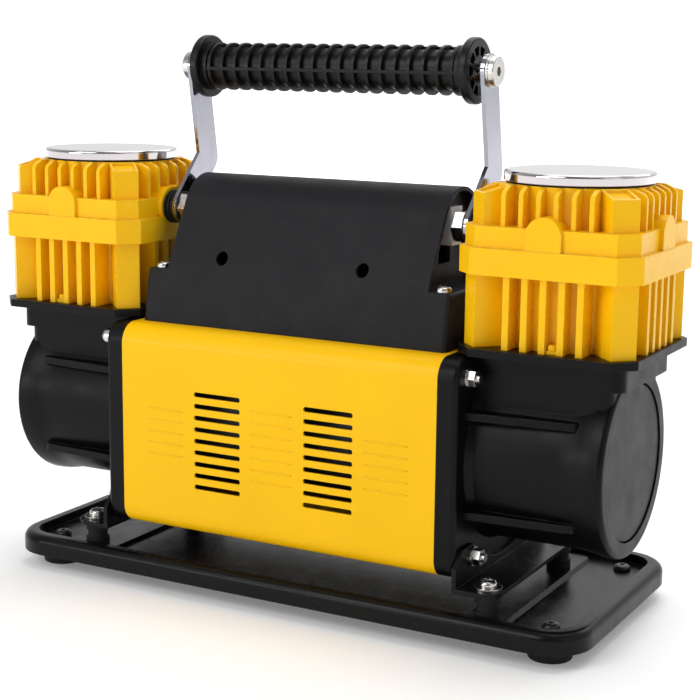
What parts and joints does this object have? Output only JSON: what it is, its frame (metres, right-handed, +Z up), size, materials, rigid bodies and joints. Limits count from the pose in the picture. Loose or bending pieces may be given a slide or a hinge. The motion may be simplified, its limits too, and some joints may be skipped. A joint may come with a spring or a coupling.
{
  "type": "twin cylinder air compressor",
  "caption": "Portable twin-cylinder air compressor: a motor between two finned cylinders on a footed tray, with a folding carry handle.",
  "frame": {"origin": "on the ground under the middle of the base tray", "axes": "+X to the right along the motor shaft, +Y to the back, +Z up; the ventilated cover faces -Y"},
  "size_m": [0.4162, 0.165, 0.3298],
  "materials": {
    "black_enamel": "satin black enamel on pressed steel",
    "black_casting": "satin black paint on die-cast aluminium",
    "yellow_casting": "semi-gloss yellow paint on die-cast aluminium",
    "yellow_sheet": "semi-gloss yellow paint on sheet aluminium",
    "black_shroud": "fine-grained moulded plastic",
    "black_grip": "moulded satin plastic",
    "black_gloss": "glossy moulded plastic",
    "black_nylon": "moulded nylon",
    "black_rubber": "moulded rubber",
    "black_steel": "black oxide",
    "zinc_steel": "bright zinc plate",
    "chrome": "polished chrome plate",
    "polished_steel": "polished stainless steel",
    "bare_aluminium": "machined",
    "brass": "machined",
    "motor_steel": "plain steel",
    "bearing_steel": "ground steel",
    "crank_iron": "machined iron",
    "magnet_ferrite": "sintered ferrite",
    "copper_wire": "enamelled copper",
    "copper_bar": "bare copper",
    "carbon": "pressed carbon",
    "brown_insulation": "phenolic board",
    "seal_white": "filled PTFE",
    "filter_foam": "open-cell foam"
  },
  "bodies": {
    "compressor": {"air_couplings": "black_rubber", "air_outlet": "brass", "base_tray": "black_enamel", "bracket_left": "black_enamel", "bracket_right": "black_enamel", "bracket_screws": "zinc_steel", "bracket_washers": "zinc_steel", "brush_holder": "brown_insulation", "cable_gland": "black_nylon", "cap_seals": "black_rubber", "carbon_brushes": "carbon", "crankcase_covers": "black_casting", "crankcase_left": "black_casting", "crankcase_right": "black_casting", "cylinder_bolts": "zinc_steel", "cylinder_head_left": "yellow_casting", "cylinder_head_right": "yellow_casting", "cylinder_left": "yellow_casting", "cylinder_liners": "bearing_steel", "cylinder_right": "yellow_casting", "end_frame_left": "black_casting", "end_frame_right": "black_casting", "filter_cap_left": "chrome", "filter_cap_right": "chrome", "filter_elements": "filter_foam", "foot_screws": "black_steel", "manifold_block": "bare_aluminium", "motor_can": "motor_steel", "motor_cover": "yellow_sheet", "pivot_fittings": "zinc_steel", "pivot_washers": "black_nylon", "rubber_feet": "black_rubber", "shaft_bearings": "bearing_steel", "shroud": "black_shroud", "shroud_screws": "zinc_steel", "stator_magnets": "magnet_ferrite", "switch_housing": "black_gloss", "tie_bolts": "zinc_steel", "tie_nuts": "zinc_steel", "tie_washers": "zinc_steel", "valve_plates": "bare_aluminium", "vibration_isolators": "black_rubber"},
    "rotor": {"motor_shaft": "bearing_steel", "armature_core": "motor_steel", "armature_windings": "copper_wire", "commutator": "copper_bar", "crank_disc_left": "crank_iron", "crank_disc_right": "crank_iron"},
    "piston_left_unit": {"piston_left": "bare_aluminium", "cup_seal_left": "seal_white"},
    "piston_right_unit": {"piston_right": "bare_aluminium", "cup_seal_right": "seal_white"},
    "handle": {"handle_arm_left": "polished_steel", "handle_arm_right": "polished_steel", "handle_grip": "black_grip", "grip_rod": "zinc_steel", "grip_spacers": "zinc_steel", "handle_washers": "zinc_steel", "handle_bolts": "zinc_steel"},
    "switch_button": {"rocker_switch": "black_gloss"}
  },
  "joints": [
    {"name": "handle_fold", "type": "hinge", "parent": "compressor", "child": "handle", "pos_m": [0, -0.021, 0.2262], "axis": [1, 0, 0], "range_deg": [-75, 85]},
    {"name": "motor_spin", "type": "hinge", "parent": "compressor", "child": "rotor", "pos_m": [0, -0.013, 0.102], "axis": [1, 0, 0], "continuous": true},
    {"name": "piston_left_slide", "type": "slide", "parent": "compressor", "child": "piston_left_unit", "axis": [0, 0, 1], "range_m": [-0.016, 0]},
    {"name": "piston_right_slide", "type": "slide", "parent": "compressor", "child": "piston_right_unit", "axis": [0, 0, 1], "range_m": [0, 0.016]},
    {"name": "switch_rock", "type": "hinge", "parent": "compressor", "child": "switch_button", "pos_m": [0.048, 0.0126, 0.188], "axis": [1, 0, 0], "range_deg": [0, 16]}
  ],
  "couplings": [
    {"joint": "piston_right_slide", "follows": "piston_left_slide", "ratio": -1}
  ]
}
